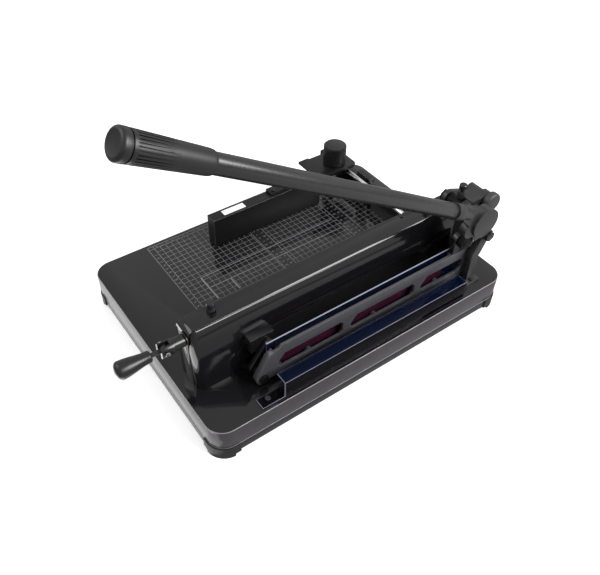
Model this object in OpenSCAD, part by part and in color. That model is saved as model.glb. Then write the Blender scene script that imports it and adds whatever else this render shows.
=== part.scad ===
// Heavy-duty guillotine paper cutter: a cast deck with a printed grid, a clamp bridge along its
// right side, a knife carrier that swings down beside the bridge, and a long hand lever.
//
// Frame: +X is the knife side, +Y runs from the operator's edge to the rear, +Z is up.
// The origin is under the middle of the overall box, on the surface that the feet rest on.
// Positions across the deck are insets from the deck's right edge, positions along it are
// distances from its front edge, and heights are above the deck's top.

/* [Base] */
// Width of the deck, left to right
base_w = 388; // [380:1:420]
// Length of the deck, front to rear
base_l = 540; // [536:1:580]
// Corner radius of the deck
base_r = 28; // [20:1:34]
// Thickness of the cast deck
slab_h = 36; // [34:1:40]
// Height of the pan under the deck
rim_h = 16; // [14:1:18]
// Height of the corner feet below the pan
foot_h = 6; // [4:0.5:8]
// How far the corner feet stand out beyond the deck
foot_proud = 1.5; // [1:0.5:3]

/* [Bridge] */
// Height of the bridge's top above the deck
bridge_h = 102; // [100:1:106]
// Thickness of the bridge's top plate
beam_t = 5; // [4.5:0.5:5]
// Distance from the deck's front edge to the bridge's front
bridge_front = 22; // [18:1:24]
// Distance from the deck's front edge to the bridge's rear
bridge_rear = 516; // [514:1:520]

/* [Paper clamp] */
// Height of the clamp bar's underside above the deck at rest
clamp_open = 14; // [10:1:20]
// Rack and pinion module
gear_m = 1.25; // [1.25]
// Number of teeth on each clamp pinion
pinion_teeth = 14; // [14]
// How far the folded clamp handle reaches in front of the deck
handle_reach = 76; // [74:1:90]

/* [Knife] */
// Length of the knife blade
blade_l = 330; // [320:1:334]
// Height of the knife blade
blade_h = 40; // [36:1:42]
// Thickness of the knife blade
blade_t = 5.5; // [5:0.5:6]
// Height of the carrier's top rail above the deck
carrier_top = 62; // [60:1:62]

/* [Lever] */
// Distance from the pivot to the end of the grip
lever_l = 615; // [560:1:640]
// Angle of the lever above the deck when the knife is down
lever_rest = 31; // [29:1:33]
// Outside diameter of the lever tube
tube_d = 22.5; // [20:0.5:24]
// Outside diameter of the grip at its end
grip_d = 32; // [28:0.5:34]

/* [Paper stop] */
// Length of the side stop
stop_l = 214; // [180:1:220]
// Height of the side stop above the deck
stop_h = 55; // [50:1:56]
// Diameter of the stop knob
knob_d = 41; // [36:1:44]

/* [Hidden] */
$fn = 64;
eps = 0.01;
fit = 0.05;           // radial clearance of a shaft in its bearing
groove_h = 1;         // shadow groove between the deck and the pan
foot_in = 18;         // foot screws, from the deck's two nearest sides

// The operator's edge lies so that the whole box is centred on the origin.
front_y = -(base_l + foot_proud - handle_reach) / 2;
rear_y = front_y + base_l;
right_x = base_w / 2;
deck_z = foot_h + rim_h + groove_h + slab_h;

// Pivot of the lever, and the crank that carries the knife.
pivot_y = front_y + 480;
pivot_z = deck_z + 121;
pivot_r = 9;
crank_y = -24;        // crank pin, measured from the pivot
crank_z = -34;
crank_pin_r = 5;
crank_lobe_r = 9.5;
hub_r = 24.5;
hub_boss = 5;         // the hub's disc stands out this much past its neck
pin_y = pivot_y + crank_y;
pin_z = pivot_z + crank_z;
link_y = front_y + 100;     // front pivot on the carrier, the same crank ahead
link_z = deck_z + 13;
link_top_y = link_y - crank_y;
link_top_z = link_z - crank_z;

// Insets of the layers that lie side by side in the knife mechanism, from the right edge.
hub_in = 25;
hub_t = 13;
carrier_in = 40;
carrier_t = 9.5;
carrier_sheet = 4;    // thickness of the carrier's wall round its windows
// The carrier's windows: where each starts and ends, and their heights.
windows = [[124, 236], [250, 372], [386, 472]];
window_z0 = 19;
window_z1 = 44;
blade_screw_ys = [130, 180, 243, 300, 379, 425];
shield_t = 2;
blade_in = carrier_in + carrier_t + shield_t + 0.2;
outer_ear_in = 53;
outer_ear_t = 12;
inner_ear_in = 96;
inner_ear_t = 7;
bush_t = 1.5;
link_in = 60;
link_t = 7;
tube_in = 31.5;
tube_lift = 5.6;      // the tube's axis passes above the pivot by this much
socket_end = 81;      // end of the hub's socket, along the lever
grip_l = 103;
neck_d = 26.5;
cap_l = 10;
lift_max = 60;        // travel of the lever, in degrees

// Lever's down-stop, the bolt of the outboard stay and the latch.
buffer_at = [514, 131];
stay_at = [497, 89];
latch_in = 76;
collar_r = 12.5;

// Clamp shaft and racks.
pitch_r = gear_m * pinion_teeth / 2;
shaft_x = right_x - 103;
shaft_up = 86;
shaft_z = deck_z + shaft_up;
shaft_r = 5;
rack_x = shaft_x - pitch_r - 4.25;
post_r = 6;
front_post_y = front_y + 69;
rear_post_y = front_y + 452;
post_top = bridge_h + clamp_open;
clamp_z = deck_z + clamp_open;
clamp_t = 10;
fold_y = -8;         // pin on which the clamp handle folds

// Bridge profile, insets and heights of the cover's bends.
bridge_left = 126;
wall_t = 3;
beam_right = 96;
bend_in = 85;
bend_h = 67;
cover_foot_in = 78;
cover_t = 2.5;
cover_zone = 106;     // the cover reaches down to the deck as far as this from the front
bracket_ys = [103, 126];
bracket_z = 58;
nose_r = 12;
nose_step = [32, 88];  // the front leg is lower ahead of this, under the bridge's round nose
stud_z = 40;
stud_ys = [bridge_front + 17, 51, 489, 507];
leg_front_y0 = bridge_front + 2;
leg_front_y1 = 58;
leg_rear_y0 = 482;
leg_rear_y1 = bridge_rear - 2;

// Stop and fence.
stop_in = 320;
stop_t = 21;
stop_front = 190;
plate_z = 55.3;
plate_t = 4.5;
knob_in = 340;
knob_y = 449;
rod_y = 461;
rod_z = 50;
rod_r = 3.8;
fence_y = 478;
fence_t = 10;
fence_h = 39;

// ---------------------------------------------------------------- helpers

// Places children at an inset from the right edge, a distance from the front and a height.
module place(inset, along, up) {
  translate([right_x - inset, front_y + along, deck_z + up]) children();
}

// A block given by its inset range, its range from the front and its height range.
module block(in0, in1, y0, y1, z0, z1) {
  translate([right_x - in1, front_y + y0, deck_z + z0]) cube([in1 - in0, y1 - y0, z1 - z0]);
}

// A cylinder along X between two insets, centred at y and z in the model's own frame.
module rod_x(in0, in1, y, z, r) {
  translate([right_x - in1, y, z]) rotate([0, 90, 0]) cylinder(h = in1 - in0, r = r);
}

// A cylinder along Y between two distances from the front, centred at x and z.
module rod_y_axis(y0, y1, x, z, r) {
  translate([x, front_y + y1, z]) rotate([90, 0, 0]) cylinder(h = y1 - y0, r = r);
}

// A rectangle with round corners, centred.
module rounded_rect(w, l, r) {
  square([w - 2 * r, l], center = true);
  square([w, l - 2 * r], center = true);
  for (sx = [-1, 1], sy = [-1, 1])
    translate([sx * (w / 2 - r), sy * (l / 2 - r)]) circle(r = r);
}

// A rounded slab whose sides follow the deck's outline, grown by d.
module deck_slab(d, z0, z1) {
  translate([0, front_y + base_l / 2, z0])
    linear_extrude(z1 - z0) rounded_rect(base_w + 2 * d, base_l + 2 * d, base_r + d);
}

// A profile drawn in the YZ plane, made into a plate between two insets.
module plate_yz(in0, in1) {
  translate([right_x - in1, 0, 0])
    rotate([90, 0, 90]) linear_extrude(in1 - in0) children();
}

// A bar of width w with round ends between two points of a 2-D profile.
module bar_2d(p, q, w) {
  d = q - p;
  n = norm(d);
  translate(p) rotate(atan2(d[1], d[0])) translate([0, -w / 2]) square([n, w]);
  translate(p) circle(d = w);
  translate(q) circle(d = w);
}

// A round-ended outline that joins two circles of different size by their outer tangents.
module tapered_bar_2d(p, rp, q, rq) {
  d = q - p;
  n = norm(d);
  a = atan2(d[1], d[0]);
  b = acos((rp - rq) / n);
  polygon([
    p + rp * [cos(a + b), sin(a + b)],
    p + rp * [cos(a - b), sin(a - b)],
    q + rq * [cos(a - b), sin(a - b)],
    q + rq * [cos(a + b), sin(a + b)]
  ]);
  translate(p) circle(r = rp);
  translate(q) circle(r = rq);
}

// A socket-head screw standing on z = 0 with its shank below it.
module socket_screw(d, shank) {
  difference() {
    cylinder(h = d, d = 1.6 * d);
    translate([0, 0, d * 0.45]) cylinder(h = d, d = 0.9 * d, $fn = 6);
  }
  translate([0, 0, -shank]) cylinder(h = shank + eps, d = d);
}

// A hexagonal nut standing on z = 0.
module hex_nut(across, h) {
  cylinder(h = h, r = across / 2 / cos(30), $fn = 6);
}

// One point of an involute of a circle of radius rb at roll angle t, in degrees.
function involute(rb, t) = rb * [cos(t) + t * PI / 180 * sin(t), sin(t) - t * PI / 180 * cos(t)];
// Roll angle at which the involute reaches radius r.
function roll_at(rb, r) = sqrt(max(0, pow(r / rb, 2) - 1)) * 180 / PI;
function turned(p, a) = [p[0] * cos(a) - p[1] * sin(a), p[0] * sin(a) + p[1] * cos(a)];
function flipped(p) = [p[0], -p[1]];

// A spur gear with involute flanks, thinned by a little backlash. One tooth points along +X.
module spur_gear(m, teeth, thick, backlash) {
  rp = m * teeth / 2;
  rb = rp * cos(20);
  ra = rp + 0.9 * m;
  rf = rp - 1.15 * m;
  pitch_roll = roll_at(rb, rp);
  half = 90 / teeth - backlash / rp / 2 * 180 / PI + pitch_roll - atan(pitch_roll * PI / 180);
  steps = 4;
  top_roll = roll_at(rb, ra);
  flank = [for (i = [0:steps]) turned(flipped(involute(rb, top_roll * i / steps)), half)];
  tooth = concat(
    [turned([rf, 0], half)], flank,
    [for (i = [steps:-1:0]) flipped(flank[i])], [turned([rf, 0], -half)]
  );
  linear_extrude(thick) union() {
    circle(r = rf + 0.02);
    for (k = [0:teeth - 1]) rotate(k * 360 / teeth) polygon(tooth);
  }
}

// ---------------------------------------------------------------- base

// Where the foot screws stand, and what is placed on them.
module at_feet(z) {
  for (sx = [-1, 1], sy = [-1, 1])
    translate([sx * (base_w / 2 - foot_in), front_y + base_l / 2 + sy * (base_l / 2 - foot_in), z]) children();
}

module base_plate() {
  wall = 8;
  top = 9;
  spine = 24;
  under = deck_z - slab_h;
  stick_y0 = 103.8;
  color([0.07, 0.07, 0.08]) difference() {
    deck_slab(0, under, deck_z);
    // Hollow underside in four pockets, with a cross rib, a spine and bosses for the foot screws.
    difference() {
      for (y = [wall, base_l / 2 + wall / 2]) {
        block(wall, 34, y, y + base_l / 2 - 1.5 * wall, -slab_h - 1, -top - 6);
        block(34 + spine + 12, base_w - wall, y, y + base_l / 2 - 1.5 * wall, -slab_h - 1, -top);
      }
      at_feet(under - 2) cylinder(h = slab_h + 4, r = 17);
    }
    // Groove for the cutting stick.
    block(blade_in - 3, blade_in + 9, stick_y0, stick_y0 + blade_l + 8.4, -8, 1);
    at_feet(under - 1) cylinder(h = 9, r = 2.5);
  }
}

module base_pan() {
  floor_t = 2.5;
  color([0.35, 0.35, 0.37]) difference() {
    union() {
      deck_slab(-0.5, foot_h, foot_h + rim_h);
      deck_slab(-2.5, foot_h + rim_h - eps, foot_h + rim_h + groove_h);
    }
    // A tray with a boss round each foot screw.
    difference() {
      deck_slab(-5, foot_h + floor_t, foot_h + rim_h + 2);
      at_feet(foot_h) cylinder(h = rim_h + 3, r = 14);
    }
    at_feet(0) cylinder(h = foot_h + rim_h + 4, r = 2.6);
  }
}

// The space round a corner of the deck, in plan, up to a length along each side.
module corner_zone(sx, sy, size, r, h) {
  translate([sx * (base_w / 2 - size / 2 + 10), front_y + base_l / 2 + sy * (base_l / 2 - size / 2 + 10), -1])
    linear_extrude(h + 1) rounded_rect(size + 20, size + 20, r);
}

module corner_feet() {
  skirt = 36;
  pad = 27;
  color([0.05, 0.05, 0.05]) for (sx = [-1, 1], sy = [-1, 1]) difference() {
    intersection() {
      deck_slab(foot_proud, 0, foot_h + rim_h - 1);
      union() {
        corner_zone(sx, sy, pad, 9, foot_h);
        translate([0, 0, foot_h - eps]) corner_zone(sx, sy, skirt, 3, rim_h);
      }
    }
    deck_slab(-0.5, foot_h, foot_h + rim_h);
    at_feet(-1) cylinder(h = foot_h + 2, r = 2.6);
    at_feet(-1) cylinder(h = 3.2, r = 5.2);
  }
}

module foot_screws() {
  color("silver") at_feet(2.2) {
    cylinder(h = foot_h + rim_h + groove_h + 4, r = 2.5);
    difference() {
      translate([0, 0, -1.4]) cylinder(h = 1.4 + eps, r = 4.6);
      translate([-0.6, -3.5, -2]) cube([1.2, 7, 1.1]);
      translate([-3.5, -0.6, -2]) cube([7, 1.2, 1.1]);
    }
  }
}

module cutting_stick() {
  color([0.75, 0.1, 0.1])
    block(blade_in - 2.8, blade_in + 8.8, 104, 104 + blade_l + 8, -7.9, 0);
}

// ---------------------------------------------------------------- bridge

// The outline of a leg's inner side, which lies against the cover.
module leg_side(y0, y1) {
  inset0 = cover_foot_in + cover_t;
  inset1 = bend_in + cover_t;
  translate([right_x, front_y + y1, deck_z]) rotate([90, 0, 0]) linear_extrude(y1 - y0)
    polygon([[-bridge_left + wall_t, 0], [-inset0, 0], [-inset0, 0.3], [-inset1 + 0.6, 61], [-beam_right, 61],
      [-beam_right, 80], [-bridge_left + wall_t, 80]]);
}

module front_leg() {
  top = bridge_h - beam_t;
  color([0.12, 0.12, 0.13]) difference() {
    union() {
      leg_side(leg_front_y0, leg_front_y1);
      block(beam_right, bridge_left - wall_t, leg_front_y0, leg_front_y1, 79, nose_step[1]);
      block(beam_right, bridge_left - wall_t, nose_step[0], leg_front_y1, 79, top);
    }
    rod_y_axis(leg_front_y0 - 1, leg_front_y1 + 1, shaft_x, shaft_z, 8);
    for (z = [60, 20]) rod_x(bridge_left - 20, bridge_left + 1, front_y + 41, deck_z + z, 2.5);
    for (y = [stud_ys[0], stud_ys[1]]) cover_stud_hole(y);
    block(cover_foot_in - 1, beam_right, leg_front_y0 - 1, bridge_front + nose_r + 0.3, -1, 81);
  }
}

module rear_leg() {
  color([0.12, 0.12, 0.13]) difference() {
    union() {
      leg_side(leg_rear_y0, leg_rear_y1);
      block(beam_right, bridge_left - wall_t, leg_rear_y0, leg_rear_y1, 79, bridge_h - beam_t);
    }
    rod_y_axis(leg_rear_y0 - 1, leg_rear_y0 + 18, shaft_x, shaft_z, 8);
    for (z = [60, 20]) rod_x(bridge_left - 20, bridge_left + 1, front_y + 498, deck_z + z, 2.5);
    for (y = [stud_ys[2], stud_ys[3]]) cover_stud_hole(y);
    place(99.5, 492, bridge_h - beam_t - 8) cylinder(h = 12, r = 2);
  }
}

// Stepped hole for a stud that is welded to the cover, with its nut at the far side.
module cover_stud_hole(y) {
  rod_x(cover_foot_in, bridge_left, front_y + y, deck_z + stud_z, 2.1);
  rod_x(bridge_left - 12, bridge_left, front_y + y, deck_z + stud_z, 4.8);
}

// An upside-down channel with a rounded front corner.
module bridge_beam() {
  y0 = bridge_front;
  under = bridge_h - beam_t;
  inner = bridge_left - wall_t;
  color([0.1, 0.1, 0.11]) difference() {
    translate([0, front_y, deck_z]) plate_yz(beam_right, bridge_left) difference() {
      union() {
        translate([y0 + nose_r, bridge_h - nose_r]) circle(r = nose_r);
        translate([y0 + nose_r, 0.3]) square([bridge_rear - y0 - nose_r, bridge_h - 0.3]);
        translate([y0, 0.3]) square([nose_r + 1, bridge_h - nose_r - 0.3]);
      }
      // Open under the left wall between the legs, for the paper.
      translate([leg_front_y1, -1]) square([leg_rear_y0 - leg_front_y1, 49]);
    }
    // Room inside for the legs and the clamp's drive.
    block(beam_right - 1, inner, leg_front_y0, nose_step[0], -1, nose_step[1]);
    block(beam_right - 1, inner, nose_step[0] - eps, bridge_rear + 1, -1, under);
    for (y = [front_post_y, rear_post_y])
      translate([rack_x, y, deck_z + under - 1]) cylinder(h = beam_t + 2, r = post_r + fit);
    rod_y_axis(y0 - 1, nose_step[0] + 1, shaft_x, shaft_z, 8);
    for (y = [41, 498], z = [60, 20]) rod_x(inner - 1, bridge_left + 1, front_y + y, deck_z + z, 2.6);
    place(99.5, 492, under - 1) cylinder(h = beam_t + 2, r = 2);
    place(120, 406, bridge_h - 4) cylinder(h = 5, r = 1.5);
  }
}

// The bent sheet cover on the knife side. It reaches the deck only at the two legs.
module cover_profile(low) {
  foot = low ? 0.3 : 50;
  inset = low ? cover_foot_in : bend_in - 1;
  polygon([
    [-beam_right, bridge_h], [-beam_right, bridge_h - 3], [-bend_in - cover_t, bend_h], [-inset - cover_t, foot],
    [-inset, foot], [-bend_in, bend_h + 0.5], [-beam_right + 3, bridge_h - 2.4], [-beam_right + 0.6, bridge_h]
  ]);
}

// The solid front end of the cover, before its edges are rounded.
module cover_nose_2d() {
  polygon([
    [-beam_right + 1.5, bridge_h], [-beam_right + 1.5, 0.3], [-cover_foot_in, 0.3], [-bend_in, bend_h + 0.5],
    [-beam_right + 3, bridge_h - 2.4], [-beam_right + 1.6, bridge_h]
  ]);
}

// What is cut away to round the nose along an upright edge that leans inwards.
module nose_edge(inset, z, lean) {
  r = nose_r;
  translate([right_x - inset, front_y + bridge_front, deck_z + z]) rotate([0, -lean, 0])
    translate([0, 0, -20]) linear_extrude(110) difference() {
      translate([-r, -1]) square([r + 5, r + 1]);
      translate([-r, r]) circle(r = r + 0.3);
    }
}

module side_cover() {
  bend_lean = atan2(bend_in - cover_foot_in, bend_h + 0.2);
  top_lean = atan2(beam_right - 3 - bend_in, bridge_h - 2.9 - bend_h);
  color([0.1, 0.1, 0.11]) difference() {
    union() {
      translate([right_x, front_y + bridge_front + nose_r, deck_z]) rotate([90, 0, 0])
        linear_extrude(nose_r) cover_nose_2d();
      translate([right_x, front_y + cover_zone, deck_z]) rotate([90, 0, 0])
        linear_extrude(cover_zone - bridge_front - nose_r + 1) cover_profile(true);
      translate([right_x, front_y + leg_rear_y0, deck_z]) rotate([90, 0, 0])
        linear_extrude(leg_rear_y0 - cover_zone + eps) cover_profile(false);
      translate([right_x, front_y + leg_rear_y1, deck_z]) rotate([90, 0, 0])
        linear_extrude(leg_rear_y1 - leg_rear_y0 + eps) cover_profile(true);
    }
    for (y = bracket_ys) rod_x(cover_foot_in - 6, cover_foot_in + 14, front_y + y, deck_z + bracket_z, 2.1);
    nose_edge(cover_foot_in, 0.3, bend_lean);
    nose_edge(bend_in, bend_h + 0.5, top_lean);
    translate([0, front_y + bridge_front, deck_z + bridge_h]) plate_yz(cover_foot_in - 2, beam_right + 1)
      difference() {
        translate([-1, -nose_r]) square([nose_r + 1, nose_r + 1]);
        translate([nose_r, -nose_r]) circle(r = nose_r + 0.3);
      }
  }
}

module beam_screws() {
  color([0.2, 0.2, 0.2]) for (y = [41, 498], z = [60, 20])
    place(bridge_left, y, z) rotate([0, -90, 0]) socket_screw(5, 18);
  color("silver") place(120, 406, bridge_h) {
    cylinder(h = 1.2, r = 2.4);
    translate([0, 0, -4]) cylinder(h = 4 + eps, r = 1.5);
  }
}

module cover_studs() {
  color([0.2, 0.2, 0.2]) for (y = stud_ys) translate([0, front_y + y, deck_z + stud_z]) {
    rod_x(cover_foot_in + 7.2, bridge_left - 5, 0, 0, 2);
    translate([right_x - bridge_left + 7, 0, 0]) rotate([0, 90, 0]) hex_nut(7, 4.9);
  }
}

module shaft_bushes() {
  color("goldenrod") {
    difference() {
      union() {
        rod_y_axis(bridge_front, leg_front_y1, shaft_x, shaft_z, 8);
        rod_y_axis(bridge_front - 2, bridge_front, shaft_x, shaft_z, 11);
      }
      rod_y_axis(bridge_front - 3, leg_front_y1 + 1, shaft_x, shaft_z, shaft_r + fit);
    }
    difference() {
      rod_y_axis(leg_rear_y0, leg_rear_y0 + 18, shaft_x, shaft_z, 8);
      rod_y_axis(leg_rear_y0 - 1, leg_rear_y0 + 19, shaft_x, shaft_z, shaft_r + fit);
    }
  }
}

// ---------------------------------------------------------------- paper clamp

module clamp_shaft() {
  color("silver") difference() {
    rod_y_axis(8, leg_rear_y0 + 17, shaft_x, shaft_z, shaft_r);
    translate([shaft_x, front_y + 13, shaft_z - 10]) cylinder(h = 20, r = 1.5);
  }
}

module pinion_at(y) {
  translate([shaft_x, y + 6, shaft_z]) rotate([90, 0, 0]) difference() {
    // A tooth gap faces the rack, so that a rack tooth sits on the line of centres.
    rotate(180 + 180 / pinion_teeth) spur_gear(gear_m, pinion_teeth, 12, 0.16);
    translate([0, 0, -1]) cylinder(h = 14, r = shaft_r);
  }
}

module clamp_pinions() {
  color("silver") {
    pinion_at(front_post_y);
    pinion_at(rear_post_y);
  }
}

module clamp_bar() {
  wide_y0 = 138;
  wide_y1 = 448;
  color([0.16, 0.16, 0.17]) difference() {
    union() {
      block(86, 122, 60, leg_rear_y0 - 2, clamp_open, clamp_open + clamp_t);
      block(blade_in + blade_t + 1, 90, wide_y0, wide_y1, clamp_open, clamp_open + clamp_t);
      block(108, 121, 84, 440, clamp_open + clamp_t - eps, clamp_open + clamp_t + 16);
    }
    for (y = [front_post_y, rear_post_y])
      translate([rack_x, y, clamp_z - 1]) {
        cylinder(h = clamp_t + 2, r = 3);
        cylinder(h = 5.8, r = 6.2);
      }
  }
}

// Rack tooth at height z above the pitch contact, pointing to +X from the pitch line.
module rack_tooth_2d() {
  half = gear_m * PI / 4;
  add = 0.9 * gear_m;
  ded = 1.15 * gear_m;
  polygon([
    [-ded, -half - ded * tan(20)], [add, -half + add * tan(20)],
    [add, half - add * tan(20)], [-ded, half + ded * tan(20)]
  ]);
}

module rack_post(y) {
  pitch = gear_m * PI;
  height = post_top - clamp_open - clamp_t;
  rack_flat = shaft_x - pitch_r - 1.15 * gear_m;
  teeth_down = 9;
  teeth_up = 5;
  difference() {
    translate([rack_x, y, clamp_z + clamp_t]) cylinder(h = height, r = post_r);
    // Flat on which the teeth stand, cut only as far as the pinion travels.
    translate([rack_flat, y - 10, shaft_z - (teeth_down + 0.5) * pitch])
      cube([20, 20, (teeth_down + teeth_up + 1) * pitch]);
    translate([rack_x, y, clamp_z + clamp_t - 1]) cylinder(h = 15, r = 2.5);
  }
  // The teeth follow the round of the post.
  intersection() {
    translate([rack_x, y, clamp_z]) cylinder(h = 200, r = post_r);
    for (k = [-teeth_down:teeth_up])
      translate([shaft_x - pitch_r, y + 10, shaft_z + k * pitch])
        rotate([90, 0, 0]) linear_extrude(20) rack_tooth_2d();
  }
}

module rack_posts() {
  color("silver") {
    rack_post(front_post_y);
    rack_post(rear_post_y);
  }
}

module post_nuts() {
  color([0.2, 0.2, 0.2]) for (y = [front_post_y, rear_post_y])
    translate([rack_x, y, clamp_z + 4.8]) rotate([180, 0, 0]) {
      difference() {
        cylinder(h = 4.4, r = 5.5);
        translate([0, 0, 2]) cylinder(h = 5, r = 2.4, $fn = 6);
      }
      translate([0, 0, -18]) cylinder(h = 18 + eps, r = 2.45);
    }
}

// Front end of the shaft: a fork in which the handle's rod folds.
module handle_clevis() {
  up0 = shaft_up - 9;
  up1 = shaft_up + 9;
  color([0.1, 0.1, 0.1]) difference() {
    union() {
      rod_y_axis(3, 19.5, shaft_x, shaft_z, 9);
      intersection() {
        block(103 - 9, 103 + 9, fold_y - 7, 3.5, up0, up1);
        rod_y_axis(fold_y - 8, 4, shaft_x, shaft_z, 10.5);
      }
    }
    // Slot for the rod's eye.
    block(103 - 3.8, 103 + 3.8, fold_y - 9, fold_y + 7, up0 - 3, up1 + 3);
    rod_y_axis(8 - eps, 21, shaft_x, shaft_z, shaft_r);
    rod_x(103 - 12, 103 + 12, front_y + fold_y, shaft_z, 2);
    translate([shaft_x, front_y + 13, shaft_z - 10]) cylinder(h = 20, r = 1.5);
  }
  color("silver") translate([shaft_x, front_y + 13, shaft_z - 8.8]) cylinder(h = 17.6, r = 1.5);
}

module fold_pin() {
  color("silver") {
    rod_x(103 - 10.5, 103 + 10.5, front_y + fold_y, shaft_z, 2);
    rod_x(103 - 12, 103 - 10.4, front_y + fold_y, shaft_z, 3.6);
    rod_x(103 + 10.4, 103 + 12, front_y + fold_y, shaft_z, 3.6);
  }
}

module handle_rod() {
  color("silver") difference() {
    union() {
      rod_x(103 - 3.4, 103 + 3.4, front_y + fold_y, shaft_z, 6);
      rod_y_axis(-68, fold_y - 4, shaft_x, shaft_z, 3.2);
    }
    rod_x(103 - 5, 103 + 5, front_y + fold_y, shaft_z, 2 + fit);
  }
}

// A turned grip with a waist, a flared end and a domed tip.
module handle_grip() {
  l = handle_reach - 27;
  color([0.06, 0.06, 0.06])
    translate([shaft_x, front_y - 27, shaft_z]) rotate([90, 0, 0]) rotate_extrude()
      polygon(concat(
        [[3.2 + fit, 0], [6.5, 0], [8.2, 1.6]],
        [for (i = [0:10]) [8.2 + 4.6 * pow(sin(i * 9), 2), 2.5 + (l - 9) * i / 10]],
        [for (i = [1:6]) [12.8 * cos(i * 15), l - 6.5 + 6.5 * sin(i * 15)]],
        [[0, 41.3], [3.2 + fit, 41.3]]
      ));
}

// ---------------------------------------------------------------- knife

// A window with a slanted front end and a round rear end, in the YZ plane.
module window_2d(y0, y1) {
  r = 5;
  polygon([
    [y0 + r, window_z0], [y1 - r, window_z0], [y1, window_z0 + r], [y1, window_z1 - r],
    [y1 - r, window_z1], [y0 + 11, window_z1], [y0, window_z0 + 12], [y0, window_z0 + r]
  ]);
}

module carrier_2d() {
  rear = 490;
  difference() {
    union() {
      polygon([[112, 6], [rear, 6], [rear, carrier_top], [130, carrier_top], [118, 50]]);
      tapered_bar_2d([link_y - front_y, link_z - deck_z], 11, [124, 37], 20);
    }
    for (w = windows) window_2d(w[0], w[1]);
  }
}

module knife_carrier() {
  sheet = carrier_in + carrier_sheet;
  inner = carrier_in + carrier_t;
  color([0.3, 0.3, 0.31]) difference() {
    translate([0, front_y, deck_z]) plate_yz(carrier_in, inner) carrier_2d();
    // Round the windows the casting is only a thin wall, with a boss at each blade bolt.
    difference() {
      union() {
        block(sheet, inner + 1, 118, 444, 7, carrier_top + 1);
        block(sheet, inner + 1, 443, 476, 7, window_z1 + 3);
      }
      for (y = blade_screw_ys) rod_x(carrier_in, inner + 2, front_y + y, deck_z + 12.5, 5.2);
    }
    rod_x(carrier_in - 1, carrier_in + carrier_t + 1, link_y, link_z, 4);
    for (y = blade_screw_ys) rod_x(carrier_in + 2, carrier_in + carrier_t + 1, front_y + y, deck_z + 12.5, 2.1);
  }
}

// Ear on the top rail, in which the crank pin turns.
module carrier_ear() {
  ear = [pin_y - front_y, pin_z - deck_z];
  color([0.08, 0.08, 0.08]) difference() {
    translate([0, front_y, deck_z]) plate_yz(carrier_in, carrier_in + carrier_t) difference() {
      tapered_bar_2d(ear, 11, ear + [6, -24], 17);
      translate([400, carrier_top - 60]) square([100, 60]);
    }
    rod_x(carrier_in - 1, carrier_in + carrier_t + 1, pin_y, pin_z, crank_pin_r + fit);
  }
}

module blade_shield() {
  color([0.1, 0.2, 0.6, 0.5]) difference() {
    block(carrier_in + carrier_t, carrier_in + carrier_t + shield_t, 112, 468, 1.2, 67);
    for (y = blade_screw_ys) rod_x(carrier_in, blade_in + 2, front_y + y, deck_z + 12.5, 2.1);
    rod_x(carrier_in, blade_in + 2, front_y + 394, deck_z + 25, 1.6);
  }
}

// The blade is bevelled on its outer side only, so its inner face shears past the clamp.
module knife_blade() {
  t = blade_t;
  color([0.7, 0.12, 0.12]) difference() {
    translate([right_x - blade_in - t, front_y + 112 + blade_l, deck_z]) rotate([90, 0, 0])
      linear_extrude(blade_l)
        polygon([[0, 0.3], [0, blade_h], [t, blade_h], [t, 8.3], [0.6, 0.3]]);
    for (y = blade_screw_ys) place(blade_in + t, y, 12.5) rotate([0, 90, 0]) {
      translate([0, 0, -1]) cylinder(h = t + 2, r = 2.1);
      translate([0, 0, -eps]) cylinder(h = 2.2, r1 = 4.3, r2 = 2.1);
    }
    rod_x(blade_in - 1, blade_in + 3, front_y + 394, deck_z + 25, 1.6);
  }
}

module blade_bolts() {
  reach = blade_in + blade_t - carrier_in - 2.2;
  color([0.35, 0.35, 0.36]) for (y = blade_screw_ys)
    place(blade_in + blade_t, y, 12.5) rotate([0, 90, 0]) difference() {
      union() {
        translate([0, 0, 0.1]) cylinder(h = 2.1, r1 = 4.12, r2 = 2.02);
        translate([0, 0, 0.1]) cylinder(h = reach, r = 2.08);
      }
      translate([0, 0, -1]) cylinder(h = 2.4, r = 1.3, $fn = 6);
    }
  // Small pan-head screw seen in the rear window.
  color("silver") translate([0, front_y + 394, deck_z + 25]) {
    rod_x(carrier_in + carrier_t - 1.4, carrier_in + carrier_t, 0, 0, 3);
    rod_x(carrier_in + carrier_t - eps, blade_in + 2.8, 0, 0, 1.6);
  }
}

module link_bracket() {
  z0 = 39;
  z1 = 64;
  y0 = 98;
  y1 = 136;
  face = link_in + link_t + 0.5;
  low = cover_foot_in + (z0 - 0.3) * (bend_in - cover_foot_in) / (bend_h + 0.2);
  high = cover_foot_in + (z1 - 0.3) * (bend_in - cover_foot_in) / (bend_h + 0.2);
  color([0.12, 0.12, 0.13]) difference() {
    translate([right_x, front_y + y1, deck_z]) rotate([90, 0, 0]) linear_extrude(y1 - y0)
      polygon([[-face, z0], [-low, z0], [-high, z1], [-face, z1]]);
    for (y = bracket_ys) rod_x(face + 6, high + 1, front_y + y, deck_z + bracket_z, 2);
    rod_x(link_in, 76, link_top_y, link_top_z, 4);
  }
}

module link_bolt() {
  color("silver") {
    rod_x(link_in - 0.5, 75, link_top_y, link_top_z, 4);
    rod_x(link_in - 2.2, link_in - 0.4, link_top_y, link_top_z, 7);
  }
}

module front_link() {
  color([0.3, 0.3, 0.31]) difference() {
    plate_yz(link_in, link_in + link_t)
      tapered_bar_2d([link_top_y, link_top_z], 9, [link_y, link_z], 9);
    rod_x(link_in - 1, link_in + link_t + 1, link_top_y, link_top_z, 4 + fit);
    rod_x(link_in - 1, link_in + link_t + 1, link_y, link_z, 4 + 0.5);
  }
}

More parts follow.
